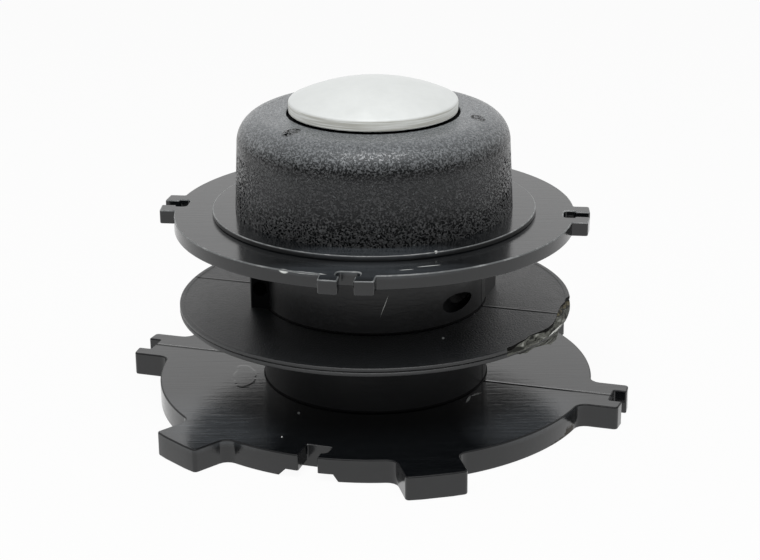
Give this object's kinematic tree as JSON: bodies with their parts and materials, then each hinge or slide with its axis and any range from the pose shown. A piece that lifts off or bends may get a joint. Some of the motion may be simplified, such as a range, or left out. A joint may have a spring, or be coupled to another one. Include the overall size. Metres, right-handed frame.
{
  "type": "trimmer head spool with bump knob",
  "caption": "Two-channel line spool of a bump-feed trimmer head: toothed lower flange, thin middle flange, lugged upper flange, textured bump knob and pale metal wear disc.",
  "frame": {"origin": "on the spool's axis, in the plane of the toothed flange's underside", "axes": "+Z along the spool's axis, from the toothed flange to the bump knob; -Y towards the side that the picture shows; +X to its right"},
  "size_m": [0.0974, 0.0988, 0.0631],
  "materials": {
    "black_nylon": "moulded black nylon, semi-gloss, with a fine matt texture on the middle flange",
    "textured_nylon": "moulded black nylon with a coarse spark texture",
    "disc_metal": "pale metal, fine matt, faintly speckled"
  },
  "bodies": {
    "root": {"spool_body": "black_nylon", "bump_knob": "textured_nylon", "wear_disc": "disc_metal"}
  },
  "joints": []
}
